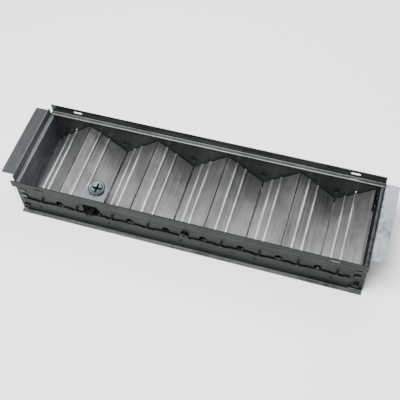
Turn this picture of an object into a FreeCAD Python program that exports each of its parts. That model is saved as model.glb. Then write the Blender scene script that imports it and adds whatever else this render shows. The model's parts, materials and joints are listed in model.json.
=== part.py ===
import FreeCAD
import Part
import math
import os

import Sketcher

Vector = FreeCAD.Vector
Rotation = FreeCAD.Rotation
Placement = FreeCAD.Placement

# Volume control damper: opposed blades in a folded sheet frame, set by one screw.
# The origin is the middle of the base. X runs along the frame, Y from front to rear,
# Z up to the face that the air leaves. The blades are drawn shut.

# Driving dimensions: millimetres and degrees
DRIVING = [
    ("frame_length", 418.0, "side rails from end to end"),
    ("inside_width", 108.0, "between the webs of the side rails"),
    ("frame_height", 64.5, "base to the top of the upstands"),
    ("sheet_gauge", 1.0, "sheet of rails and end plates"),
    ("bend_radius", 0.6, "inside radius of the frame folds"),
    ("upstand_height", 11.2, "top face of the ledges to the top of the upstands"),
    ("ledge_reach", 5.5, "side rail web to its upstand"),
    ("flange_reach", 7.0, "side rail web to the lip of its base flange"),
    ("end_ledge_reach", 4.5, "end plate web to its upstand"),
    ("tab_reach", 15.5, "fixing tab beyond the end of the frame"),
    ("tab_corner", 1.5, "rounded corner of a fixing tab"),
    ("tab_relief", 3.0, "end plate edge to fixing tab edge"),
    ("seam_gap", 0.2, "end plate edge to side rail web"),
    ("lug_width", 5.0, "width of an end plate lug"),
    ("lug_reach", 6.0, "length of a lug once it is bent over"),
    ("lug_low", 16.2, "lowest lug, which holds a link bar, below the blade axes"),
    ("lug_middle", 1.8, "middle lug above the blade axes"),
    ("lug_high", 12.8, "highest lug above the blade axes"),
    ("lug_play", 0.5, "lug in its slot, each side"),
    ("lug_gap", 0.1, "bent lug to the rail web"),
    ("fixing_slot_length", 11.5, "screw slot in an upstand, end to end"),
    ("fixing_slot_width", 3.6, "screw slot in an upstand, across"),
    ("fixing_slot_inset", 35.5, "end of the frame to the middle of a screw slot"),
    ("fixing_slot_drop", 5.8, "top of the upstand to the middle of a screw slot"),
    ("pilot_diameter", 8.4, "hole between two blades in a rail web"),
    ("pilot_drop", 2.0, "those holes below the blade axes"),
    ("blade_count", 9, "blades, which share the frame's length"),
    ("blade_room", 3.25, "end plate web to the field of the nearest blade"),
    ("blade_tip_gap", 1.6, "between the edges of two shut blades"),
    ("blade_gauge", 0.8, "sheet of the blades"),
    ("blade_end_gap", 1.2, "blade end to side rail web"),
    ("shut_angle", 40.0, "slope of a shut blade"),
    ("pivot_lift", 1.55, "blade axes above the middle of the rail's height below its ledge"),
    ("quarter_bead", 14.0, "blade axis to the second bead"),
    ("pivot_diameter", 3.0, "pivot pin"),
    ("pivot_play", 0.06, "pivot pin in its hole, radial"),
    ("pivot_grip", 18.0, "length of a pivot pin inside its bead"),
    ("pivot_stand", 2.5, "pivot pin beyond a link bar that it passes"),
    ("slit_width", 1.6, "slit above a pivot hole"),
    ("slit_height", 5.2, "blade axis to the top of the slit"),
    ("crank_radius", 12.0, "blade axis to drive pin"),
    ("drive_pin_diameter", 3.0, "drive pin"),
    ("rivet_head_diameter", 5.0, "formed head of a drive pin"),
    ("rivet_head_height", 0.9, "formed head of a drive pin"),
    ("crank_ear_radius", 4.2, "rounded end of a blade's crank ear"),
    ("drive_slot_play", 1.1, "drive pin in the slot of a rail web"),
    ("bar_gauge", 1.2, "link bar strip"),
    ("bar_gap", 0.3, "link bar to what it slides along"),
    ("bar_drop", 2.8, "blade axes to the top edge of a link bar"),
    ("dip_depth", 1.5, "depth of the dips in that edge"),
    ("dip_width", 18.0, "dip at the top edge of a link bar"),
    ("cover_rise", 2.8, "blade axes to the rear bar's top edge, which covers the pilot holes"),
    ("bar_slot_play", 0.25, "drive pin in its link bar slot, each side"),
    ("keeper_diameter", 10.7, "washer that holds a link bar to its rail"),
    ("keeper_gauge", 1.0, "washer that holds a link bar to its rail"),
    ("lever_clearance", 1.7, "lever to the shut second blade at its left"),
    ("adjuster_inset", 21.5, "front web to the adjusting screw axis"),
    ("window_left", 10.7, "adjusting screw axis to the left edge of the lever window"),
    ("window_right", 12.8, "adjusting screw axis to the right edge of the lever window"),
    ("window_gap", 1.8, "lever's underside to the bottom edge of its window"),
    ("window_rise", 13.3, "top edge of the lever window above the blade axes"),
    ("window_slant_width", 6.5, "slanted corner of the lever window, along the frame"),
    ("window_slant_height", 9.5, "slanted corner of the lever window, upright"),
    ("bracket_drop", 9.8, "top face of the ledges to the underside of the bracket plate"),
    ("bracket_gauge", 1.2, "sheet of the bracket"),
    ("bracket_width", 30.0, "bracket across its foot"),
    ("bracket_nose_radius", 12.5, "round end of the bracket"),
    ("bracket_foot_height", 6.8, "foot on the front web"),
    ("rivet_diameter", 3.2, "bracket rivet"),
    ("rivet_spacing", 18.0, "between the bracket rivets"),
    ("screw_head_diameter", 20.0, "dished head of the adjusting screw"),
    ("screw_head_height", 2.6, "dished head of the adjusting screw"),
    ("screw_rim", 1.3, "flat rim round the dish"),
    ("screw_dish", 1.0, "depth of the dish"),
    ("recess_length", 12.0, "cross recess, tip to tip"),
    ("recess_width", 2.4, "cross recess, across one arm"),
    ("recess_depth", 1.2, "cross recess below the dish"),
    ("spindle_diameter", 6.0, "shank of the adjusting screw"),
    ("washer_gauge", 0.6, "friction washer under the head"),
    ("axial_play", 0.05, "washer and clip to the bracket plate"),
    ("clip_gauge", 0.8, "retaining clip under the bracket"),
    ("clip_diameter", 11.0, "retaining clip"),
    ("lever_lift", 10.77, "bottom of the valley between shut blades to the lever"),
    ("lever_gauge", 1.5, "sheet of the lever"),
    ("lever_width", 6.0, "lever arm and its tip"),
    ("lever_hub_diameter", 13.0, "lever round the spindle"),
    ("lever_play", 0.4, "lever tip in the link bar notch, each side"),
    ("notch_gap", 1.3, "lever's underside to the floor of its notch"),
    ("notch_flare", 12.0, "open side of the notch, along the link bar"),
]

document = FreeCAD.newDocument("damper")
sheet = document.addObject("Spreadsheet::Sheet", "sizes")
for row, (alias, number, meaning) in enumerate(DRIVING, start=1):
    sheet.set(f"A{row}", str(number))
    sheet.setAlias(f"A{row}", alias)
    sheet.set(f"B{row}", meaning)
document.recompute()


class Size:
    """A number together with the formula that gives it in the sheet."""

    def __init__(self, number, formula):
        self.number = number
        self.formula = formula

    @staticmethod
    def of(value):
        return value if isinstance(value, Size) else Size(value, f"({value})")

    def __add__(self, other):
        other = Size.of(other)
        return Size(self.number + other.number, f"({self.formula} + {other.formula})")

    def __sub__(self, other):
        other = Size.of(other)
        return Size(self.number - other.number, f"({self.formula} - {other.formula})")

    def __mul__(self, other):
        other = Size.of(other)
        return Size(self.number * other.number, f"({self.formula} * {other.formula})")

    def __truediv__(self, other):
        other = Size.of(other)
        return Size(self.number / other.number, f"({self.formula} / {other.formula})")

    def __neg__(self):
        return Size(-self.number, f"(-1 * {self.formula})")

    __radd__ = __add__
    __rmul__ = __mul__

    def __rsub__(self, other):
        return Size.of(other) - self


def sine(angle):
    return Size(math.sin(math.radians(angle.number)), f"sin({angle.formula})")


def cosine(angle):
    return Size(math.cos(math.radians(angle.number)), f"cos({angle.formula})")


def arctangent(ratio):
    return Size(math.degrees(math.atan(ratio.number)), f"atan({ratio.formula})")


def size(alias):
    return Size(float(sheet.get(alias)), f"sizes.{alias}")


# Sizes that more than one piece shares
GAUGE = size("sheet_gauge")
LEDGE_LEVEL = size("frame_height") - size("upstand_height")
PIVOT_HEIGHT = LEDGE_LEVEL / 2 + size("pivot_lift")
CRANK = size("crank_radius")
BLADES = int(size("blade_count").number)
WEB_INNER = size("inside_width") / 2
WEB_OUTER = WEB_INNER + GAUGE
BAR_INNER = WEB_OUTER + size("bar_gap")
BAR_OUTER = BAR_INNER + size("bar_gauge")
KEEPER_INNER = BAR_OUTER + size("bar_gap")
BLADE_END = WEB_INNER - size("blade_end_gap")
END_WEB_INNER = size("frame_length") / 2 - size("end_ledge_reach") - GAUGE
PITCH = 2 * (END_WEB_INNER - size("blade_room")) / BLADES
HALF_TRAVEL = (90 - size("shut_angle")) / 2
CRANK_ACROSS = CRANK * sine(HALF_TRAVEL)
CRANK_DOWN = CRANK * cosine(HALF_TRAVEL)
BAR_TRAVEL = 2 * CRANK_ACROSS
CRANK_SLOT_DROP = (CRANK + CRANK_DOWN) / 2
BAR_TOP = PIVOT_HEIGHT - size("bar_drop")
SHUT_SLOPE = sine(size("shut_angle")) / cosine(size("shut_angle"))
LEVER_BOTTOM = PIVOT_HEIGHT - PITCH / 2 * SHUT_SLOPE + size("lever_lift")
VALLEY_X = PITCH * (1.5 - (BLADES - 1) / 2)
ADJUSTER_X = (VALLEY_X - size("lever_lift") / SHUT_SLOPE + size("lever_clearance")
              + size("lever_width") / 2 + CRANK_ACROSS)
ADJUSTER_Y = size("adjuster_inset") - WEB_INNER
LEVER_REACH = (BAR_INNER + BAR_OUTER) / 2 + ADJUSTER_Y
BRACKET_LEVEL = LEDGE_LEVEL - size("bracket_drop")
PLATE_TOP = BRACKET_LEVEL + size("bracket_gauge")
MIDDLE_BLADE = (BLADES - 1) // 2
LUG_LEVELS = [PIVOT_HEIGHT - size("lug_low"), PIVOT_HEIGHT + size("lug_middle"),
              PIVOT_HEIGHT + size("lug_high")]

FRONT = -1
REAR = 1
LEFT = -1
RIGHT = 1


def blade_x(index):
    return PITCH * (index - (BLADES - 1) / 2)


def rises(index):
    """The first blade and every second one after it rise towards the right."""
    return index % 2 == 0


# Sketches
def new_body(label):
    return document.addObject("PartDesign::Body", label)


def plane(body, role):
    return next(item for item in body.Origin.OriginFeatures if item.Role == role)


def new_sketch(body, role, offset=None):
    sketch = body.newObject("Sketcher::SketchObject", body.Name + "_sketch")
    sketch.AttachmentSupport = (plane(body, role), [""])
    sketch.MapMode = "FlatFace"
    if offset is not None:
        sketch.AttachmentOffset = Placement(Vector(0, 0, offset.number), Rotation())
        sketch.setExpression("AttachmentOffset.Base.z", offset.formula)
    return sketch


def constrain(sketch, kind, where, amount):
    amount = Size.of(amount)
    index = sketch.addConstraint(Sketcher.Constraint(kind, *where, float(amount.number)))
    sketch.setExpression(f"Constraints[{index}]", amount.formula)


def fix_point(sketch, geometry, end, x, y):
    constrain(sketch, "DistanceX", (-1, 1, geometry, end), x)
    constrain(sketch, "DistanceY", (-1, 1, geometry, end), y)


def point(x, y):
    return Vector(Size.of(x).number, Size.of(y).number, 0)


def draw_polygon(sketch, corners):
    first = sketch.GeometryCount
    count = len(corners)
    for index, corner in enumerate(corners):
        following = corners[(index + 1) % count]
        sketch.addGeometry(Part.LineSegment(point(*corner), point(*following)))
    for index, corner in enumerate(corners):
        following = first + (index + 1) % count
        sketch.addConstraint(Sketcher.Constraint("Coincident", first + index, 2, following, 1))
        fix_point(sketch, first + index, 1, *corner)


def draw_box(sketch, x, y, width, height):
    right, top = x + width / 2, y + height / 2
    left, bottom = x - width / 2, y - height / 2
    draw_polygon(sketch, [(left, bottom), (right, bottom), (right, top), (left, top)])


def draw_circle(sketch, x, y, diameter):
    circle = sketch.addGeometry(Part.Circle(point(x, y), Vector(0, 0, 1), diameter.number / 2))
    fix_point(sketch, circle, 3, x, y)
    constrain(sketch, "Radius", (circle,), diameter / 2)


def draw_arc(sketch, x, y, radius, start, finish):
    """An arc round (x, y) from the angle start to the angle finish, in whole right angles."""
    x, y, radius = Size.of(x), Size.of(y), Size.of(radius)
    circle = Part.Circle(point(x, y), Vector(0, 0, 1), radius.number)
    arc = sketch.addGeometry(Part.ArcOfCircle(circle, math.radians(start), math.radians(finish)))
    fix_point(sketch, arc, 3, x, y)
    turn = math.radians(start)
    fix_point(sketch, arc, 1, x + radius * round(math.cos(turn)), y + radius * round(math.sin(turn)))
    across = "DistanceY" if round(math.sin(math.radians(finish))) == 0 else "DistanceX"
    centre = y if across == "DistanceY" else x
    constrain(sketch, across, (-1, 1, arc, 2), centre)
    return arc


def draw_line(sketch, start, finish):
    """A line between the ends of two curves, each given as (geometry, end)."""
    a = sketch.getPoint(*start)
    b = sketch.getPoint(*finish)
    line = sketch.addGeometry(Part.LineSegment(a, b))
    sketch.addConstraint(Sketcher.Constraint("Coincident", line, 1, *start))
    sketch.addConstraint(Sketcher.Constraint("Coincident", line, 2, *finish))


def draw_slot(sketch, x, y, run, width, upright=False):
    """A slot with round ends, whose end centres lie the length run apart."""
    x, y, run = Size.of(x), Size.of(y), Size.of(run)
    radius = width / 2
    if upright:
        first = draw_arc(sketch, x, y + run / 2, radius, 0, 180)
        second = draw_arc(sketch, x, y - run / 2, radius, 180, 360)
    else:
        first = draw_arc(sketch, x - run / 2, y, radius, 90, 270)
        second = draw_arc(sketch, x + run / 2, y, radius, -90, 90)
    draw_line(sketch, (first, 2), (second, 1))
    draw_line(sketch, (second, 2), (first, 1))


def draw_ear(sketch, x, root, y, radius):
    """An ear of the height root at one end and a half circle round (x, y) at the other."""
    x, y, radius = Size.of(x), Size.of(y), Size.of(radius)
    root = Size.of(root)
    below = y.number < root.number
    arc = draw_arc(sketch, x, y, radius, 180 if below else 0, 360 if below else 180)
    sides = []
    for end in (1, 2):
        tip = sketch.getPoint(arc, end)
        side = sketch.addGeometry(Part.LineSegment(tip, Vector(tip.x, root.number, 0)))
        sketch.addConstraint(Sketcher.Constraint("Coincident", side, 1, arc, end))
        sketch.addConstraint(Sketcher.Constraint("Vertical", side))
        sides.append(side)
    constrain(sketch, "DistanceY", (-1, 1, sides[0], 2), root)
    base = sketch.addGeometry(
        Part.LineSegment(sketch.getPoint(sides[0], 2), sketch.getPoint(sides[1], 2)))
    sketch.addConstraint(Sketcher.Constraint("Coincident", base, 1, sides[0], 2))
    sketch.addConstraint(Sketcher.Constraint("Coincident", base, 2, sides[1], 2))
    sketch.addConstraint(Sketcher.Constraint("Horizontal", base))


# Features
def extrude(body, sketch, length, symmetric=False, reverse=False):
    pad = body.newObject("PartDesign::Pad", body.Name + "_pad")
    pad.Profile = sketch
    pad.setExpression("Length", length.formula)
    pad.SideType = "Symmetric" if symmetric else "One side"
    pad.Reversed = reverse
    document.recompute()
    return pad


def cut_through(body, sketch):
    before = body.Shape.Volume
    pocket = body.newObject("PartDesign::Pocket", body.Name + "_pocket")
    pocket.Profile = sketch
    pocket.Type = "ThroughAll"
    pocket.SideType = "Symmetric"
    document.recompute()
    if body.Shape.Volume >= before:
        raise RuntimeError(f"{pocket.Name} cuts nothing")
    return pocket


def cut_down(body, sketch, depth):
    before = body.Shape.Volume
    pocket = body.newObject("PartDesign::Pocket", body.Name + "_pocket")
    pocket.Profile = sketch
    pocket.setExpression("Length", depth.formula)
    document.recompute()
    if body.Shape.Volume >= before:
        raise RuntimeError(f"{pocket.Name} cuts nothing")
    return pocket


def repeat_along_x(body, feature, sketch, step, count):
    pattern = body.newObject("PartDesign::LinearPattern", body.Name + "_row")
    pattern.Originals = [feature]
    pattern.Direction = (sketch, ["H_Axis"])
    pattern.setExpression("Length", (step * (count - 1)).formula)
    pattern.Occurrences = count
    body.Tip = pattern
    document.recompute()
    return pattern


def mirror(body, features, role):
    mirrored = body.newObject("PartDesign::Mirrored", body.Name + "_mirror")
    mirrored.Originals = features
    mirrored.MirrorPlane = (plane(body, role), [""])
    body.Tip = mirrored
    document.recompute()
    return mirrored


def round_edges(body, radius, places, axis):
    """Rounds the straight edges along one axis that cross the other two at the given places."""
    base = body.Tip
    names = []
    for number, edge in enumerate(base.Shape.Edges, start=1):
        if edge.Curve.TypeId != "Part::GeomLine":
            continue
        if abs(edge.Curve.Direction.dot(axis)) < 0.999:
            continue
        middle = edge.CenterOfMass
        if any((middle - axis * middle.dot(axis) - place).Length < 0.01 for place in places):
            names.append(f"Edge{number}")
    if len(names) < len(places):
        raise RuntimeError(f"{body.Name} lacks an edge to round")
    fillet = body.newObject("PartDesign::Fillet", body.Name + "_fillet")
    fillet.Base = (base, names)
    fillet.setExpression("Radius", radius.formula)
    document.recompute()
    return fillet


def revolve(body, corners):
    """Turns a closed outline of (radius, height) corners round the body's own Z axis."""
    sketch = new_sketch(body, "XZ_Plane")
    draw_polygon(sketch, corners)
    turned = body.newObject("PartDesign::Revolution", body.Name + "_turned")
    turned.Profile = sketch
    turned.ReferenceAxis = (sketch, ["V_Axis"])
    document.recompute()
    return turned


def place(item, x, y, z, axis=Vector(0, 0, 1), angle=None):
    """Puts an object at x, y and z, turned round an axis of its own by an angle."""
    spots = [Size.of(value) for value in (x, y, z)]
    turn = Size.of(0 if angle is None else angle)
    base = Vector(*[spot.number for spot in spots])
    item.Placement = Placement(base, Rotation(axis, turn.number))
    for name, spot in zip("xyz", spots):
        item.setExpression(f"Placement.Base.{name}", spot.formula)
    if angle is not None:
        item.setExpression("Placement.Rotation.Angle", turn.formula)


# Side rails
def rail_outline(side):
    """Section of a rail in Y and Z: base flange, web, ledge and upstand of one folded strip."""
    ledge_top = LEDGE_LEVEL
    upstand_inner = WEB_INNER + size("ledge_reach")
    corners = [
        (WEB_INNER, Size.of(0)),
        (WEB_INNER + size("flange_reach"), Size.of(0)),
        (WEB_INNER + size("flange_reach"), GAUGE),
        (WEB_OUTER, GAUGE),
        (WEB_OUTER, ledge_top - GAUGE),
        (upstand_inner + GAUGE, ledge_top - GAUGE),
        (upstand_inner + GAUGE, size("frame_height")),
        (upstand_inner, size("frame_height")),
        (upstand_inner, ledge_top),
        (WEB_INNER, ledge_top),
    ]
    return [(across * side, up) for across, up in corners]


def make_side_rail(label, side, driven):
    """A rail web carries the pivots, the pilot holes and the slots for its driven blades."""
    body = new_body(label)
    sketch = new_sketch(body, "YZ_Plane")
    outline = rail_outline(side)
    draw_polygon(sketch, outline)
    extrude(body, sketch, size("frame_length"), symmetric=True)
    folds = [Vector(0, across.number, up.number) for across, up in outline]
    inside_folds = [folds[3], folds[4], folds[8]]
    outside_folds = [folds[0], folds[9], folds[5]]
    along = Vector(1, 0, 0)
    round_edges(body, size("bend_radius"), inside_folds, along)
    round_edges(body, size("bend_radius") + GAUGE, outside_folds, along)

    pivots = new_sketch(body, "XZ_Plane")
    hole = size("pivot_diameter") + 2 * size("pivot_play")
    draw_circle(pivots, blade_x(0), PIVOT_HEIGHT, hole)
    repeat_along_x(body, cut_through(body, pivots), pivots, PITCH, BLADES)
    slits = new_sketch(body, "XZ_Plane")
    slit_height = size("slit_height")
    draw_box(slits, blade_x(0), PIVOT_HEIGHT + slit_height / 2, size("slit_width"), slit_height)
    repeat_along_x(body, cut_through(body, slits), slits, PITCH, BLADES)

    pilots = new_sketch(body, "XZ_Plane")
    draw_circle(pilots, blade_x(0.5), PIVOT_HEIGHT - size("pilot_drop"), size("pilot_diameter"))
    repeat_along_x(body, cut_through(body, pilots), pilots, PITCH, BLADES - 1)

    drive = new_sketch(body, "XZ_Plane")
    slot_width = size("drive_pin_diameter") + 2 * size("drive_slot_play")
    draw_slot(drive, blade_x(driven[0]), PIVOT_HEIGHT - CRANK_SLOT_DROP, BAR_TRAVEL, slot_width)
    repeat_along_x(body, cut_through(body, drive), drive, 2 * PITCH, len(driven))

    openings = new_sketch(body, "XZ_Plane")
    fixing_width = size("fixing_slot_width")
    fixing_run = size("fixing_slot_length") - fixing_width
    lug_middle_x = END_WEB_INNER + GAUGE / 2
    fixing_x = size("frame_length") / 2 - size("fixing_slot_inset")
    fixing_height = size("frame_height") - size("fixing_slot_drop")
    for end in (LEFT, RIGHT):
        draw_slot(openings, fixing_x * end, fixing_height, fixing_run, fixing_width)
        for level in LUG_LEVELS:
            draw_box(openings, lug_middle_x * end, level,
                     GAUGE + 2 * size("lug_play"), size("lug_width") + 2 * size("lug_play"))
    cut_through(body, openings)
    return body


def add_adjuster_openings(body):
    """The front web is open for the lever, and drilled for the bracket's rivets."""
    sketch = new_sketch(body, "XZ_Plane")
    left, right = ADJUSTER_X - size("window_left"), ADJUSTER_X + size("window_right")
    top, bottom = PIVOT_HEIGHT + size("window_rise"), LEVER_BOTTOM - size("window_gap")
    draw_polygon(sketch, [
        (left, bottom), (right, bottom), (right, top - size("window_slant_height")),
        (right - size("window_slant_width"), top), (left, top)])
    for end in (LEFT, RIGHT):
        draw_circle(sketch, rivet_x(end), RIVET_HEIGHT, size("rivet_diameter"))
    cut_through(body, sketch)


RIVET_HEIGHT = PLATE_TOP + size("bracket_foot_height") / 2


def rivet_x(end):
    return ADJUSTER_X + size("rivet_spacing") / 2 * end


# End plates
def make_end_plate(label, end):
    """A folded plate with a fixing tab, held by lugs that pass through the rail webs."""
    body = new_body(label)
    outer = size("frame_length") / 2
    ledge_top = LEDGE_LEVEL
    top = size("frame_height")
    corners = [
        (END_WEB_INNER, Size.of(0)),
        (END_WEB_INNER + GAUGE, Size.of(0)),
        (END_WEB_INNER + GAUGE, ledge_top - GAUGE),
        (outer, ledge_top - GAUGE),
        (outer, top - GAUGE),
        (outer + size("tab_reach"), top - GAUGE),
        (outer + size("tab_reach"), top),
        (outer - GAUGE, top),
        (outer - GAUGE, ledge_top),
        (END_WEB_INNER, ledge_top),
    ]
    outline = [(along * end, up) for along, up in corners]
    sketch = new_sketch(body, "XZ_Plane")
    draw_polygon(sketch, outline)
    half_width = WEB_INNER - size("seam_gap")
    extrude(body, sketch, 2 * half_width, symmetric=True)
    folds = [Vector(along.number, 0, up.number) for along, up in outline]
    across = Vector(0, 1, 0)
    round_edges(body, size("bend_radius"), [folds[2], folds[8], folds[4]], across)
    round_edges(body, size("bend_radius") + GAUGE, [folds[9], folds[3], folds[7]], across)

    tab_half_width = half_width - size("tab_relief")
    relief = new_sketch(body, "XY_Plane", top)
    for side in (FRONT, REAR):
        draw_box(relief, (outer + size("tab_reach")) * end,
                 (tab_half_width + size("tab_relief")) * side,
                 2 * size("tab_reach"), 2 * size("tab_relief"))
    cut_down(body, relief, 3 * GAUGE)
    tab_end = (outer + size("tab_reach")).number * end
    tab_corners = [Vector(tab_end, tab_half_width.number * side, 0) for side in (FRONT, REAR)]
    round_edges(body, size("tab_corner"), tab_corners, Vector(0, 0, 1))

    lugs = []
    for number, level in enumerate(LUG_LEVELS):
        inner = KEEPER_INNER if number == 0 else WEB_OUTER + size("lug_gap")
        lug = new_sketch(body, "XY_Plane", level)
        lug_corners = [
            (END_WEB_INNER, half_width - GAUGE),
            (END_WEB_INNER + GAUGE, half_width - GAUGE),
            (END_WEB_INNER + GAUGE, inner + GAUGE),
            (END_WEB_INNER - size("lug_reach"), inner + GAUGE),
            (END_WEB_INNER - size("lug_reach"), inner),
            (END_WEB_INNER, inner),
        ]
        draw_polygon(lug, [(along * end, across_y) for along, across_y in lug_corners])
        lugs.append(extrude(body, lug, size("lug_width"), symmetric=True))
    mirror(body, lugs, "XZ_Plane")
    return body


# Blades
def shut_turn(index):
    """Turn round the Y axis that brings a flat blade to its shut slope."""
    return -size("shut_angle") if rises(index) else size("shut_angle")


def driven_side(index):
    """Rising blades are driven by the front link bar, falling blades by the rear one."""
    return FRONT if rises(index) else REAR


def crank_spot(index):
    """Place of a blade's drive pin in the blade's own axes: along its chord and up."""
    side = -1 if rises(index) else 1
    return CRANK_DOWN * side, -CRANK_ACROSS


def make_blade(index):
    """A blade is one sheet with two beads, and a crank ear folded down at its driven end."""
    body = new_body(f"blade_{index + 1}")
    gauge = size("blade_gauge")
    length = 2 * BLADE_END
    sheet_section = new_sketch(body, "XZ_Plane")
    chord = (PITCH - size("blade_tip_gap")) / cosine(size("shut_angle"))
    draw_box(sheet_section, Size.of(0), Size.of(0), chord, gauge)
    extrude(body, sheet_section, length, symmetric=True)

    beads = new_sketch(body, "XZ_Plane")
    channels = new_sketch(body, "XZ_Plane")
    for along in (Size.of(0), -size("quarter_bead")):
        arc = draw_arc(beads, along, 0, size("pivot_diameter") / 2 + gauge, 0, 180)
        draw_line(beads, (arc, 2), (arc, 1))
        draw_circle(channels, along, 0, size("pivot_diameter"))
    extrude(body, beads, length, symmetric=True)
    cut_through(body, channels)

    along, up = crank_spot(index)
    driven_end = driven_side(index)
    ear = new_sketch(body, "XZ_Plane", BLADE_END * -driven_end)
    draw_ear(ear, along, 0, up, size("crank_ear_radius"))
    draw_circle(ear, along, up, size("drive_pin_diameter"))
    extrude(body, ear, gauge, reverse=driven_end == FRONT)
    place(body, blade_x(index), 0, PIVOT_HEIGHT, Vector(0, 1, 0), shut_turn(index))
    return body


def add_cylinder(name, diameter, length, x, y, z, axis=Vector(0, 0, 1), angle=None):
    cylinder = document.addObject("Part::Cylinder", name)
    cylinder.setExpression("Radius", (diameter / 2).formula)
    cylinder.setExpression("Height", length.formula)
    place(cylinder, x, y, z, axis, angle)
    return cylinder


def group(label, items):
    compound = document.addObject("Part::Compound", label)
    compound.Links = items
    return compound


def make_pivot_pins(index):
    """Two stubs are clinched in the middle bead and turn in the webs. The rear ones end
    inside the link bar, but for the middle blade's, which carries the transfer crank."""
    start = BLADE_END - size("pivot_grip")
    outside = BAR_OUTER + size("pivot_stand")
    rear_end = outside if index == MIDDLE_BLADE else WEB_OUTER
    stubs = []
    for name, y, length in (("front", -outside, outside - start), ("rear", start, rear_end - start)):
        stubs.append(add_cylinder(f"pivot_{index + 1}_{name}", size("pivot_diameter"), length,
                                  blade_x(index), y, PIVOT_HEIGHT, Vector(-1, 0, 0), Size.of(90)))
    return group(f"pivot_pins_{index + 1}", stubs)


def shut_pin(index):
    """Place of a shut blade's drive pin in the frame, in X and Z."""
    side = -1 if rises(index) else 1
    return blade_x(index) + CRANK_ACROSS * side, PIVOT_HEIGHT - CRANK_DOWN


def make_drive_pin(index):
    """A rivet through the crank ear reaches through the web into the link bar."""
    body = new_body(f"drive_pin_{index + 1}")
    shank = size("drive_pin_diameter") / 2
    head = size("rivet_head_diameter") / 2
    seat = BLADE_END - size("blade_gauge")
    tip = BAR_OUTER - seat
    revolve(body, [(0, -size("rivet_head_height")), (head, -size("rivet_head_height")),
                   (head, Size.of(0)), (shank, Size.of(0)), (shank, tip), (0, tip)])
    x, z = shut_pin(index)
    side = driven_side(index)
    place(body, x, seat * side, z, Vector(-side, 0, 0), Size.of(90))
    return body


# Link bars
def bar_top_edge(side, near, far):
    """The front bar is straight; the rear bar stands higher between the outer blade axes."""
    if side == FRONT:
        return [(far, BAR_TOP), (near, BAR_TOP)]
    top = PIVOT_HEIGHT + size("cover_rise")
    slope = size("cover_rise")
    first, last = blade_x(0), blade_x(BLADES - 1)
    return [(far, BAR_TOP), (first, BAR_TOP), (first + slope, top), (last - slope, top),
            (last, BAR_TOP), (near, BAR_TOP)]


def cut_dips(body):
    """The top edge dips under each pivot pin that stands out over the bar."""
    dip = new_sketch(body, "XZ_Plane")
    half = size("dip_width") / 2
    slope = 2 * size("dip_depth")
    floor = BAR_TOP - size("dip_depth")
    above = BAR_TOP + GAUGE
    middle = blade_x(0)
    draw_polygon(dip, [
        (middle - half, above), (middle - half, BAR_TOP), (middle - half + slope, floor),
        (middle + half - slope, floor), (middle + half, BAR_TOP), (middle + half, above)])
    repeat_along_x(body, cut_through(body, dip), dip, PITCH, BLADES)


def make_link_bar(label, side, driven):
    """A strip slides behind the end lugs; upright slots in it carry the drive pins."""
    body = new_body(label)
    forward = -side
    bottom = GAUGE + size("bar_gap")
    end = END_WEB_INNER - 2 * size("bar_gap")
    near, far = -end * forward, (end - BAR_TRAVEL) * forward
    strip = new_sketch(body, "XZ_Plane", BAR_INNER * -side)
    draw_polygon(strip, [(near, bottom), (far, bottom)] + bar_top_edge(side, near, far))
    extrude(body, strip, size("bar_gauge"), reverse=side == REAR)
    if side == FRONT:
        cut_dips(body)

    slots = new_sketch(body, "XZ_Plane")
    width = size("drive_pin_diameter") + 2 * size("bar_slot_play")
    run = CRANK - CRANK_DOWN + size("drive_slot_play")
    x, _ = shut_pin(driven[0])
    draw_slot(slots, x, PIVOT_HEIGHT - CRANK_SLOT_DROP, run, width, upright=True)
    repeat_along_x(body, cut_through(body, slots), slots, 2 * PITCH, len(driven))
    return body


def cut_lever_notch(body):
    """The front bar is notched where the lever's tip pushes it."""
    sketch = new_sketch(body, "XZ_Plane")
    tip_x = ADJUSTER_X - CRANK_ACROSS
    half = size("lever_width") / 2 + size("lever_play")
    floor = LEVER_BOTTOM - size("notch_gap")
    top = BAR_TOP + GAUGE
    shoulder = LEVER_BOTTOM + 1.5 * size("lever_gauge")
    draw_polygon(sketch, [
        (tip_x - half, floor), (tip_x + half, floor),
        (tip_x + half, shoulder), (tip_x + half + size("notch_flare"), top),
        (tip_x - half - GAUGE, top), (tip_x - half, shoulder)])
    cut_through(body, sketch)


def add_transfer_ear(body):
    """The rear bar stands up round the pivot that hands the motion over to it."""
    centre = blade_x(MIDDLE_BLADE) + CRANK_ACROSS
    pin_height = PIVOT_HEIGHT + CRANK_SLOT_DROP
    pin = size("drive_pin_diameter") + 2 * size("bar_slot_play")
    width = BAR_TRAVEL + size("pivot_diameter") + 6 * GAUGE
    ear = new_sketch(body, "XZ_Plane", -BAR_INNER)
    root = BAR_TOP - size("dip_depth") - 3 * GAUGE
    draw_ear(ear, centre, root, pin_height - CRANK / 4, width / 2)
    extrude(body, ear, size("bar_gauge"), reverse=True)
    openings = new_sketch(body, "XZ_Plane")
    passage = size("pivot_diameter") * 1.4
    draw_slot(openings, centre, PIVOT_HEIGHT, BAR_TRAVEL, passage)
    run = CRANK - CRANK_DOWN + size("drive_slot_play")
    draw_slot(openings, centre, pin_height, run, pin, upright=True)
    cut_through(body, openings)


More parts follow.
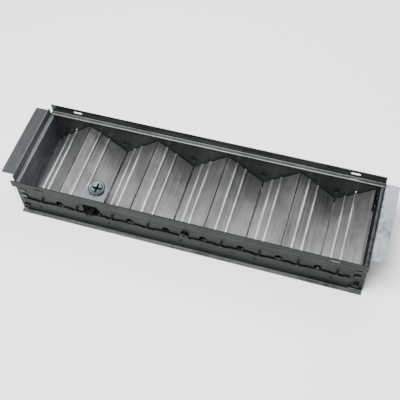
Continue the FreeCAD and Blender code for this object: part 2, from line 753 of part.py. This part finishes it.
def make_transfer_crank():
    """A crank on the middle blade's rear pivot points up, so it pushes the rear bar back."""
    body = new_body("transfer_crank")
    arm = new_sketch(body, "XZ_Plane")
    hub = size("pivot_diameter") / 2 + 3 * GAUGE
    draw_slot(arm, Size.of(0), CRANK / 2, CRANK, 2 * hub, upright=True)
    draw_circle(arm, 0, 0, size("pivot_diameter"))
    extrude(body, arm, size("bar_gauge"), reverse=True)
    pin = new_sketch(body, "XZ_Plane")
    draw_circle(pin, Size.of(0), CRANK, size("drive_pin_diameter"))
    extrude(body, pin, size("bar_gauge") + size("bar_gap"))
    x = blade_x(MIDDLE_BLADE)
    place(body, x, KEEPER_INNER, PIVOT_HEIGHT, Vector(0, 1, 0), HALF_TRAVEL)
    return body


def make_keeper():
    """A washer pressed on the middle blade's front pivot holds the front bar to its web."""
    body = new_body("keeper_washer")
    bore = size("pivot_diameter") / 2
    outer = size("keeper_diameter") / 2
    gauge = size("keeper_gauge")
    revolve(body, [(bore, Size.of(0)), (outer, Size.of(0)), (outer, gauge), (bore, gauge)])
    x = blade_x(MIDDLE_BLADE)
    place(body, x, -KEEPER_INNER, PIVOT_HEIGHT, Vector(1, 0, 0), Size.of(90))
    return body


# Adjuster
def make_bracket():
    """An angle of sheet is riveted to the front web and carries the adjusting screw."""
    body = new_body("adjuster_bracket")
    gauge = size("bracket_gauge")
    plate = new_sketch(body, "XY_Plane", BRACKET_LEVEL)
    root = -WEB_INNER
    draw_bracket_outline(plate, root)
    draw_circle(plate, ADJUSTER_X, ADJUSTER_Y, spindle_bore())
    extrude(body, plate, gauge)
    foot = new_sketch(body, "XZ_Plane", WEB_INNER)
    middle = (BRACKET_LEVEL + PLATE_TOP + size("bracket_foot_height")) / 2
    draw_box(foot, ADJUSTER_X, middle, size("bracket_width"), gauge + size("bracket_foot_height"))
    extrude(body, foot, gauge, reverse=True)
    holes = new_sketch(body, "XZ_Plane")
    for end in (LEFT, RIGHT):
        draw_circle(holes, rivet_x(end), RIVET_HEIGHT, size("rivet_diameter"))
    cut_through(body, holes)
    return body


def draw_bracket_outline(sketch, root):
    """Seen from above: straight at the web, then drawn in to the round nose."""
    half = size("bracket_width") / 2
    nose = size("bracket_nose_radius")
    arc = draw_arc(sketch, ADJUSTER_X, ADJUSTER_Y, nose, 0, 180)
    corners = [(ADJUSTER_X - half, root), (ADJUSTER_X + half, root)]
    base = sketch.addGeometry(Part.LineSegment(point(*corners[0]), point(*corners[1])))
    fix_point(sketch, base, 1, *corners[0])
    fix_point(sketch, base, 2, *corners[1])
    draw_line(sketch, (arc, 2), (base, 1))
    draw_line(sketch, (base, 2), (arc, 1))


def spindle_bore():
    return size("spindle_diameter") + 2 * size("pivot_play")


def make_adjusting_screw():
    """A turned screw: dished head with a cross recess, long shank and a riveted foot."""
    body = new_body("adjusting_screw")
    head_bottom = PLATE_TOP + size("axial_play") + size("washer_gauge")
    head_top = head_bottom + size("screw_head_height")
    head = size("screw_head_diameter") / 2
    shank = size("spindle_diameter") / 2
    stub = shank * 0.7
    dish_floor = head_top - size("screw_dish")
    flat = size("recess_length") / 4
    lever_top = LEVER_BOTTOM + size("lever_gauge")
    foot = LEVER_BOTTOM - size("washer_gauge")
    revolve(body, [
        (0, foot), (shank * 0.9, foot), (shank * 0.9, LEVER_BOTTOM), (stub, LEVER_BOTTOM),
        (stub, lever_top), (shank, lever_top), (shank, head_bottom), (head, head_bottom),
        (head, head_top), (head - size("screw_rim"), head_top), (flat, dish_floor),
        (0, dish_floor)])
    long, short = size("recess_length") / 2, size("recess_width") / 2
    cross = new_sketch(body, "XY_Plane", head_top)
    draw_polygon(cross, [
        (long, -short), (long, short), (short, short), (short, long), (-short, long),
        (-short, short), (-long, short), (-long, -short), (-short, -short), (-short, -long),
        (short, -long), (short, -short)])
    cut_down(body, cross, size("screw_dish") + size("recess_depth"))
    place(body, ADJUSTER_X, ADJUSTER_Y, 0)
    return body


def make_ring(label, bottom, bore, outer, thickness):
    body = new_body(label)
    top = bottom + thickness
    revolve(body, [(bore / 2, bottom), (outer / 2, bottom), (outer / 2, top), (bore / 2, top)])
    place(body, ADJUSTER_X, ADJUSTER_Y, 0)
    return body


def make_lever():
    """A flat lever is riveted to the spindle's foot and reaches through the window."""
    body = new_body("adjuster_lever")
    width = size("lever_width")
    hub = size("lever_hub_diameter")
    bore = size("spindle_diameter") * 0.7
    outline = new_sketch(body, "XY_Plane")
    draw_circle(outline, 0, 0, hub)
    draw_circle(outline, 0, 0, bore)
    extrude(body, outline, size("lever_gauge"))
    arm = new_sketch(body, "XY_Plane")
    tip = LEVER_REACH + size("bar_gauge")
    root = bore / 2 + GAUGE
    draw_box(arm, Size.of(0), (root + tip) / -2, width, tip - root)
    extrude(body, arm, size("lever_gauge"))
    place(body, ADJUSTER_X, ADJUSTER_Y, LEVER_BOTTOM, Vector(0, 0, -1),
          arctangent(CRANK_ACROSS / LEVER_REACH))
    return body


def make_bracket_rivets():
    """Two blind rivets: a domed head outside the web and a formed head on the foot."""
    rivets = []
    for end, name in ((LEFT, "left"), (RIGHT, "right")):
        body = new_body(f"rivet_{name}")
        shank = size("rivet_diameter") / 2
        head = size("rivet_diameter")
        height = size("rivet_head_height")
        grip = GAUGE + size("bracket_gauge")
        revolve(body, [(0, -height), (head * 0.6, -height), (head, Size.of(0)), (shank, Size.of(0)),
                       (shank, grip), (head * 0.8, grip), (head * 0.8, grip + height),
                       (0, grip + height)])
        place(body, rivet_x(end), -WEB_OUTER, RIVET_HEIGHT, Vector(-1, 0, 0), Size.of(90))
        rivets.append(body)
    return group("bracket_rivets", rivets)


rising = [index for index in range(BLADES) if rises(index)]
falling = [index for index in range(BLADES) if not rises(index)]

front_rail = make_side_rail("side_rail_front", FRONT, rising)
add_adjuster_openings(front_rail)
parts = [front_rail, make_side_rail("side_rail_rear", REAR, falling)]
parts += [make_end_plate("end_plate_left", LEFT), make_end_plate("end_plate_right", RIGHT)]
for index in range(BLADES):
    parts += [make_blade(index), make_pivot_pins(index), make_drive_pin(index)]
front_bar = make_link_bar("link_bar_front", FRONT, rising)
cut_lever_notch(front_bar)
rear_bar = make_link_bar("link_bar_rear", REAR, falling)
add_transfer_ear(rear_bar)
parts += [front_bar, rear_bar, make_transfer_crank(), make_keeper()]
parts += [make_bracket(), make_bracket_rivets(), make_adjusting_screw(), make_lever()]
parts.append(make_ring("friction_washer", PLATE_TOP + size("axial_play"), spindle_bore(),
                       size("spindle_diameter") * 2, size("washer_gauge")))
clip_bottom = BRACKET_LEVEL - size("axial_play") - size("clip_gauge")
parts.append(make_ring("retaining_clip", clip_bottom,
                       size("spindle_diameter"), size("clip_diameter"), size("clip_gauge")))
document.recompute()

for item in document.Objects:
    if "Invalid" in item.State or "Error" in item.State:
        raise RuntimeError(f"{item.Label} failed")
for item in parts:
    if item.Shape.isNull() or not item.Shape.isValid():
        raise RuntimeError(f"{item.Label} has no valid shape")

os.makedirs("parts", exist_ok=True)
for item in parts:
    item.Shape.exportStep(f"parts/{item.Label}.step")
    box = item.Shape.BoundBox
    print(f"{item.Label:22s} {len(item.Shape.Solids)} solids {item.Shape.Volume:10.1f} mm3 "
          f"x {box.XMin:8.2f} {box.XMax:8.2f} y {box.YMin:7.2f} {box.YMax:7.2f} "
          f"z {box.ZMin:6.2f} {box.ZMax:6.2f}")
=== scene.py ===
from collections import namedtuple
import json
import math

import bpy
from mathutils import Matrix, Vector

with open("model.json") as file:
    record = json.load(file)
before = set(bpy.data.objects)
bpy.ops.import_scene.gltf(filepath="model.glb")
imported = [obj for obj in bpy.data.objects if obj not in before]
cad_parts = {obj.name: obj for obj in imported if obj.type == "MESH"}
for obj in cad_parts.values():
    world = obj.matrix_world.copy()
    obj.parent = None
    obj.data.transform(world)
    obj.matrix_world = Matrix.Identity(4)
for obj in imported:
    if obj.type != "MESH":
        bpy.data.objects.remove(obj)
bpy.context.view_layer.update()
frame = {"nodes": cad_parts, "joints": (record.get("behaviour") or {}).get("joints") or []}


# Side rails and end plates: strips of galvanised sheet, folded to a flange or tab, web,
# ledge and upstand. The mill's zinc shows a faint spangle and long rolling lines.
# The end plates hold the rails together by lugs that are bent over outside the webs.
class Shade:
    """An output socket of a material's nodes. Arithmetic on it adds Math nodes."""

    def __init__(self, tree, socket):
        self.tree = tree
        self.socket = socket

    @staticmethod
    def node(tree, kind, settings, inputs, output=0):
        """Makes any node: its settings first, then the values or links of its sockets."""
        made = tree.nodes.new(kind)
        for name, setting in settings.items():
            setattr(made, name, setting)
        for name, given in inputs.items():
            if isinstance(given, Shade):
                tree.links.new(given.socket, made.inputs[name])
            else:
                made.inputs[name].default_value = given
        return Shade(tree, made.outputs[output])

    def _math(self, operation, *values):
        return Shade.node(self.tree, "ShaderNodeMath", {"operation": operation},
                          dict(enumerate(values)))

    def __add__(self, other):
        return self._math("ADD", self, other)

    def __radd__(self, other):
        return self._math("ADD", other, self)

    def __sub__(self, other):
        return self._math("SUBTRACT", self, other)

    def __rsub__(self, other):
        return self._math("SUBTRACT", other, self)

    def __mul__(self, other):
        return self._math("MULTIPLY", self, other)

    def __rmul__(self, other):
        return self._math("MULTIPLY", other, self)

    def absolute(self):
        return self._math("ABSOLUTE", self)

    def root(self):
        return self._math("SQRT", self)

    def wrapped(self, length):
        """What is left after whole lengths are taken off."""
        return self._math("WRAP", self, length, 0.0)

    def limited(self):
        """The value itself between zero and one, and the nearer of the two elsewhere."""
        return self._math("MINIMUM", self._math("MAXIMUM", self, 0.0), 1.0)

    def near(self, centre, distance):
        """One where the value lies within the distance of the centre, and zero elsewhere."""
        return self._math("COMPARE", self, centre, distance)

    def blend(self, low, high):
        """A colour that goes from low to high as the value goes from zero to one."""
        factor, first_colour, second_colour, mixed_colour = 0, 6, 7, 2
        low, high = [end if isinstance(end, Shade) else (*end, 1) for end in (low, high)]
        return Shade.node(self.tree, "ShaderNodeMix", {"data_type": "RGBA"},
                          {factor: self, first_colour: low, second_colour: high}, mixed_colour)


def place_along(tree, axis):
    """How far a point of the piece lies along one axis of the frame, in metres."""
    place = Shade.node(tree, "ShaderNodeTexCoord", {}, {}, "Object")
    return Shade.node(tree, "ShaderNodeSeparateXYZ", {}, {"Vector": place}, axis)


Strip = namedtuple("Strip", "level reach fade tone")
ShadeFilm = namedtuple("ShadeFilm", "side distance slant fade depth thick")
HoleRow = namedtuple("HoleRow", "pitch first level reach fade")


def sheet_metal(name, dark, light, grain_axis, lines, roughness, spangle,
                strips=(), shade_films=(), shaded_holes=None):
    """Zinc-coated sheet: a cell pattern for the spangle and stretched noise for rolling lines.
    Strips have a tone of their own: some are painted light on ledges, flanges and tabs,
    others painted shade in folds, along joints and at a bar's foot; one gives a web its own tone.
    Shade films paint shade on the sheet beyond a distance towards the rear (side 1) or the front
    (side -1), further out where the sheet is higher; a thick one also hides the metal's gloss.
    A painted black disc of shade lies round each hole of a row."""
    fine_across, fine_along = 480.0, 14.0
    fine_spangle, fine_cloud = 190.0, 30.0
    mean_noise, mean_flake = 0.5, 0.4
    mean_tone, cloud_depth = 0.5, 1.2
    strip_cover, strip_cloud, strip_lines = 0.9, 1.4, 0.8
    # Painted shade: the tone that the films lay on the sheet.
    shade_tone = [0.03 * part for part in dark]
    slant_level = 0.030
    metal_share = 0.9
    grain_polish, flake_polish = 0.10, 0.06
    relief_strength, relief_depth = 0.08, 0.0003

    material = bpy.data.materials.new(name)
    material.use_nodes = True
    tree = material.node_tree
    shader = tree.nodes["Principled BSDF"]
    place = Shade.node(tree, "ShaderNodeTexCoord", {}, {}, "Object")
    stretch = [fine_along if axis == grain_axis else fine_across for axis in range(3)]
    stretched = Shade.node(tree, "ShaderNodeMapping", {}, {"Vector": place, "Scale": stretch})
    grain = Shade.node(tree, "ShaderNodeTexNoise", {},
                       {"Vector": stretched, "Scale": 1.0, "Detail": 3.0, "Roughness": 0.6})
    cells = Shade.node(tree, "ShaderNodeTexVoronoi", {"feature": "F1"},
                       {"Vector": place, "Scale": fine_spangle, "Randomness": 1.0}, "Color")
    flakes = Shade.node(tree, "ShaderNodeSeparateColor", {}, {"Color": cells}, "Red")
    cloud = Shade.node(tree, "ShaderNodeTexNoise", {},
                       {"Vector": place, "Scale": fine_cloud, "Detail": 5.0, "Roughness": 0.6})
    tone = (mean_tone + lines * (grain - mean_noise) + spangle * (flakes - mean_flake)
            + cloud_depth * (cloud - mean_noise))
    colour = tone.blend(dark, light)

    height = place_along(tree, "Z")
    for strip in strips:
        cover = ((strip.reach - (height - strip.level).absolute()) * (1 / strip.fade)).limited()
        patchy = (strip_cover + strip_cloud * (cloud - mean_noise) + spangle * (flakes - mean_noise)
                  + strip_lines * lines * (grain - mean_noise))
        colour = (cover * patchy).limited().blend(colour, strip.tone)

    # Films and the discs round holes paint shade; thick ones and the discs take the metal's gloss
    # away.
    bare_metal = metal_share
    for shade_film in shade_films:
        outwards = shade_film.side * place_along(tree, "Y") - shade_film.distance
        shade_share = ((outwards - (height - slant_level) * shade_film.slant) * (1 / shade_film.fade)).limited()
        colour = (shade_share * shade_film.depth).blend(colour, shade_tone)
        if shade_film.thick:
            bare_metal = bare_metal * (1.0 - shade_share)
    if shaded_holes:
        row = shaded_holes
        from_pivot = place_along(tree, "X") - row.first + 0.5 * row.pitch
        beside = from_pivot.wrapped(row.pitch) - 0.5 * row.pitch
        above = height - row.level
        spread = (beside * beside + above * above).root()
        hole_shade = ((row.reach - spread) * (1 / row.fade)).limited()
        colour = hole_shade.blend(colour, (0.0, 0.0, 0.0))
        bare_metal = bare_metal * (1.0 - hole_shade)
    if isinstance(bare_metal, Shade):
        tree.links.new(bare_metal.socket, shader.inputs["Metallic"])
        shader.inputs["Specular IOR Level"].default_value = 0.0
    else:
        shader.inputs["Metallic"].default_value = bare_metal
    tree.links.new(colour.socket, shader.inputs["Base Color"])

    worn = roughness - flake_polish + grain_polish * grain + flake_polish * flakes
    tree.links.new(worn.socket, shader.inputs["Roughness"])
    relief = Shade.node(tree, "ShaderNodeBump", {},
                        {"Height": grain, "Strength": relief_strength, "Distance": relief_depth},
                        "Normal")
    tree.links.new(relief.socket, shader.inputs["Normal"])
    return material


def coat(names, material):
    """Gives each named CAD piece the material in place of its plain one."""
    for name in names:
        mesh = frame["nodes"][name].data
        mesh.materials.clear()
        mesh.materials.append(material)


along_frame, across_frame = 0, 1
flange_level, fold_level, ledge_level, tab_level = 0.0005, 0.0010, 0.0528, 0.0640
edge_reach, edge_fade = 0.0009, 0.0002
blade_pivots = sorted(joint["pos_m"] for joint in frame["joints"]
                      if joint["name"].startswith("blade_"))
blade_pitch = blade_pivots[1][0] - blade_pivots[0][0]
first_pilot_hole = blade_pivots[0][0] + 0.5 * blade_pitch
hole_shade_level = blade_pivots[0][2] + 0.0014
# The front rail's sheet is set darker than the rear rail's: painted shade. Painted highlights lie on
# the flange and the ledge, painted shade darkens the web towards the bottom fold, and a painted black
# disc of shade lies round each pilot hole.
front_face_highlight, front_fold_shade = (0.13, 0.136, 0.132), (0.004, 0.0045, 0.0042)
front_sheet = sheet_metal(
    "galvanised front rail sheet", dark=(0.006, 0.007, 0.0067), light=(0.027, 0.029, 0.028),
    grain_axis=along_frame, lines=2.4, roughness=0.42, spangle=0.24,
    strips=[Strip(fold_level, reach=0.0120, fade=0.009, tone=front_fold_shade),
            Strip(flange_level, edge_reach, edge_fade, front_face_highlight),
            Strip(ledge_level, edge_reach, edge_fade, front_face_highlight)],
    shaded_holes=HoleRow(blade_pitch, first_pilot_hole, hole_shade_level, reach=0.0049, fade=0.0010))
coat(["side_rail_front"], front_sheet)

# Painted highlights lie on the rear rail's flange and ledge.
rear_face_highlight, rear_web = (0.115, 0.12, 0.117), (0.082, 0.088, 0.086)
rear_sheet = sheet_metal(
    "galvanised rear rail sheet", dark=(0.022, 0.024, 0.023), light=(0.09, 0.095, 0.092),
    grain_axis=along_frame, lines=2.0, roughness=0.42, spangle=0.24,
    strips=[Strip(0.5 * ledge_level, reach=0.024, fade=0.003, tone=rear_web),
            Strip(flange_level, edge_reach, edge_fade, rear_face_highlight),
            Strip(ledge_level, edge_reach, edge_fade, rear_face_highlight)])
coat(["side_rail_rear"], rear_sheet)

# The end plates are one sheet in two tones: the right plate is set darker with a light tab, the left
# lighter with a darker tab, painted light and shade. Painted shade darkens the front lugs.
left_tab, right_tab = (0.095, 0.099, 0.099), (0.17, 0.182, 0.188)
front_lug_shade = ShadeFilm(side=-1, distance=0.0545, slant=0.0, fade=0.003, depth=1.0, thick=False)
left_sheet = sheet_metal(
    "galvanised left end sheet", dark=(0.045, 0.050, 0.052), light=(0.17, 0.183, 0.187),
    grain_axis=across_frame, lines=2.0, roughness=0.45, spangle=0.24,
    strips=[Strip(tab_level, edge_reach, edge_fade, left_tab)], shade_films=[front_lug_shade])
coat(["end_plate_left"], left_sheet)
right_sheet = sheet_metal(
    "galvanised right end sheet", dark=(0.010, 0.011, 0.012), light=(0.04, 0.045, 0.045),
    grain_axis=across_frame, lines=1.6, roughness=0.40, spangle=0.75,
    strips=[Strip(tab_level, edge_reach, edge_fade, right_tab)], shade_films=[front_lug_shade])
coat(["end_plate_right"], right_sheet)


# Blades: thinner galvanised sheet, rolled along the blade's length, with two pressed beads
# that stiffen it. The crank ear at one end is folded from the same sheet. Painted shade lies
# thick on the front ends and lines the low edges where the blades meet; a thinner painted
# darkening towards the rear stands in for the dark rear rail reflected in them.
lower_edge_level, blade_joint_shade = 0.0103, (0.01, 0.01, 0.01)
front_end_shade = ShadeFilm(side=-1, distance=0.0395, slant=0.45, fade=0.009, depth=0.98, thick=True)
rear_painted_darkening = ShadeFilm(side=1, distance=-0.0350, slant=0.0, fade=0.0850, depth=0.58, thick=False)
blade_sheet = sheet_metal(
    "galvanised blade sheet", dark=(0.22, 0.22, 0.223), light=(0.60, 0.60, 0.603),
    grain_axis=across_frame, lines=1.2, roughness=0.42, spangle=0.05,
    strips=[Strip(lower_edge_level, reach=0.0006, fade=0.0001, tone=blade_joint_shade)],
    shade_films=[front_end_shade, rear_painted_darkening])
coat([name for name in frame["nodes"] if name.startswith("blade_")], blade_sheet)


# Pivot and drive pins: drawn steel wire, dark with oil, cut to length and clinched in the
# blades' beads or riveted in their crank ears.
def plain_metal(name, colour, roughness, metallic=1.0, scratch=0.05):
    """Turned, drawn or plated metal: one colour, a little noise in its polish."""
    fine_scratch = 420.0
    material = bpy.data.materials.new(name)
    material.use_nodes = True
    tree = material.node_tree
    shader = tree.nodes["Principled BSDF"]
    shader.inputs["Base Color"].default_value = (*colour, 1)
    shader.inputs["Metallic"].default_value = metallic
    place = Shade.node(tree, "ShaderNodeTexCoord", {}, {}, "Object")
    wear = Shade.node(tree, "ShaderNodeTexNoise", {},
                      {"Vector": place, "Scale": fine_scratch, "Detail": 3.0})
    polish = roughness - 0.5 * scratch + scratch * wear
    tree.links.new(polish.socket, shader.inputs["Roughness"])
    return material


oiled_wire = plain_metal("bright steel wire", (0.03, 0.03, 0.03), roughness=0.55)
coat([name for name in frame["nodes"] if name.startswith(("pivot_pins_", "drive_pin_"))],
     oiled_wire)


# Link bars: two galvanised strips that slide outside the rail webs, held by the end plates'
# lowest lugs. The blades' drive pins run in their upright slots. A washer keeps the front
# bar and a crank on the middle blade moves the rear. The front bar's sheet is set darker than
# the rear bar's, and darker still near its foot: painted shade.
bar_foot, bar_foot_shade = 0.0045, (0.0007, 0.0008, 0.0008)
front_bar_sheet = sheet_metal(
    "galvanised bar sheet", dark=(0.0045, 0.005, 0.005), light=(0.0145, 0.0155, 0.0155),
    grain_axis=along_frame, lines=2.4, roughness=0.44, spangle=0.14,
    strips=[Strip(bar_foot, reach=0.0140, fade=0.010, tone=bar_foot_shade)])
coat(["link_bar_front", "keeper_washer"], front_bar_sheet)
rear_bar_sheet = sheet_metal(
    "galvanised rear bar sheet", dark=(0.018, 0.0195, 0.019), light=(0.07, 0.074, 0.072),
    grain_axis=along_frame, lines=2.0, roughness=0.42, spangle=0.20)
coat(["link_bar_rear", "transfer_crank"], rear_bar_sheet)


# Adjuster: a zinc-plated screw with a dished head and a cross recess stands in a riveted
# bracket. Its dark lever reaches through the window in the front web into the link bar.
zinc_plate = plain_metal("clear zinc plating", (0.33, 0.39, 0.375), roughness=0.34,
                         metallic=0.95, scratch=0.12)
coat(["adjuster_bracket", "friction_washer"], zinc_plate)


def turned_head(name, axis_x, axis_y, dish_tone, bands, recess_half, recess_reach, recess_tone):
    """Plated screw head: outside the dish, each band from a radius outwards has its own tone,
    painted light and shade of the head's turned profile, and the arms of the cross recess are
    painted dark as shade."""
    edge_sharpness = 8000.0
    under_colour = (0.2, 0.2, 0.2)
    material = plain_metal(name, under_colour, roughness=0.28, metallic=0.95, scratch=0.10)
    tree = material.node_tree
    along = place_along(tree, "X") - axis_x
    across = place_along(tree, "Y") - axis_y
    radius = (along * along + across * across).root()
    colour = dish_tone
    for start, tone in bands:
        colour = ((radius - start) * edge_sharpness).limited().blend(colour, tone)
    inside = ((recess_reach - radius) * edge_sharpness).limited()
    arms = (along.near(0.0, recess_half) + across.near(0.0, recess_half)).limited()
    colour = (inside * arms).blend(colour, recess_tone)
    tree.links.new(colour.socket, tree.nodes["Principled BSDF"].inputs["Base Color"])
    return material


screw_axis = next(joint["pos_m"] for joint in frame["joints"] if joint["name"] == "adjuster_turn")
# Painted light and shade: a painted highlight on the rim, painted shade at the dish's edge, on the
# outer band and at the head's edge, and in the recess.
dish_edge, rim_start, rim_end, head_edge = 0.0066, 0.0074, 0.0088, 0.0095
dish_plate, rim_highlight, outer_band_shade = (0.26, 0.34, 0.32), (0.34, 0.42, 0.40), (0.10, 0.14, 0.13)
dish_edge_shade, head_edge_shade, recess_shade = (0.012, 0.02, 0.018), (0.01, 0.015, 0.013), (0.006, 0.010, 0.009)
screw_metal = turned_head(
    "plated screw head", screw_axis[0], screw_axis[1], dish_plate,
    bands=[(dish_edge, dish_edge_shade), (rim_start, rim_highlight), (rim_end, outer_band_shade),
           (head_edge, head_edge_shade)],
    recess_half=0.0013, recess_reach=0.0062, recess_tone=recess_shade)
coat(["adjusting_screw"], screw_metal)
rivet_metal = plain_metal("rivet steel", (0.07, 0.07, 0.07), roughness=0.45)
coat(["bracket_rivets"], rivet_metal)
# The lever and the clip are near black, painted shade, so that the window in the front web reads
# dark.
black_steel = plain_metal("near-black steel", (0.012, 0.012, 0.012), roughness=0.5, metallic=0.6)
coat(["adjuster_lever", "retaining_clip"], black_steel)


# Studio: a white floor, one large softbox overhead towards the front left, and a weaker
# one behind at the right, as plain product light.
floor_reach, floor_level = 6.0, -0.0002
white_paper, paper_roughness = (0.95, 0.95, 0.95, 1), 0.9
floor_corners = [(-floor_reach, -floor_reach), (floor_reach, -floor_reach),
                 (floor_reach, floor_reach), (-floor_reach, floor_reach)]
floor_mesh = bpy.data.meshes.new("studio floor")
floor_mesh.from_pydata([(x, y, floor_level) for x, y in floor_corners], [], [(0, 1, 2, 3)])
floor = bpy.data.objects.new("studio floor", floor_mesh)
bpy.context.scene.collection.objects.link(floor)
paper = bpy.data.materials.new("white paper")
paper.use_nodes = True
paper_shader = paper.node_tree.nodes["Principled BSDF"]
paper_shader.inputs["Base Color"].default_value = white_paper
paper_shader.inputs["Roughness"].default_value = paper_roughness
floor_mesh.materials.append(paper)

room_light = 0.45
world = bpy.data.worlds.new("studio")
bpy.context.scene.world = world
world.use_nodes = True
background = world.node_tree.nodes["Background"]
background.inputs["Color"].default_value = (1, 1, 1, 1)
background.inputs["Strength"].default_value = room_light


def softbox(name, place, aim, width, depth, power):
    """An evenly lit rectangle at a place, turned towards the aim."""
    light = bpy.data.lights.new(name, "AREA")
    light.shape = "RECTANGLE"
    light.size = width
    light.size_y = depth
    light.energy = power
    lamp = bpy.data.objects.new(name, light)
    bpy.context.scene.collection.objects.link(lamp)
    lamp.location = place
    lamp.rotation_euler = (Vector(aim) - Vector(place)).to_track_quat("-Z", "Y").to_euler()


softbox("front box", place=(-0.20, -0.35, 1.30), aim=(0.0, 0.0, 0.03),
        width=0.8, depth=0.6, power=48.0)
softbox("rear box", place=(0.30, 0.95, 1.30), aim=(0.1, 0.0, 0.03),
        width=0.6, depth=0.5, power=16.0)


# Camera: a long lens well above the front rail and a little to the right, turned slightly
# about its own axis. Its place was fitted to the frame's corners and the blades' joints.
camera_data = bpy.data.cameras.new("camera")
camera_data.sensor_width = 36.0
camera_data.lens = 67.57
camera = bpy.data.objects.new("camera", camera_data)
bpy.context.scene.collection.objects.link(camera)
eye, target = Vector((0.17330, -0.46803, 0.76903)), Vector((0.00382, -0.00509, 0.03))
roll_degrees = -3.728
turn = (target - eye).to_track_quat("-Z", "Y").to_matrix().to_4x4()
roll = Matrix.Rotation(math.radians(roll_degrees), 4, "Z")
camera.matrix_world = Matrix.Translation(eye) @ turn @ roll
bpy.context.scene.camera = camera
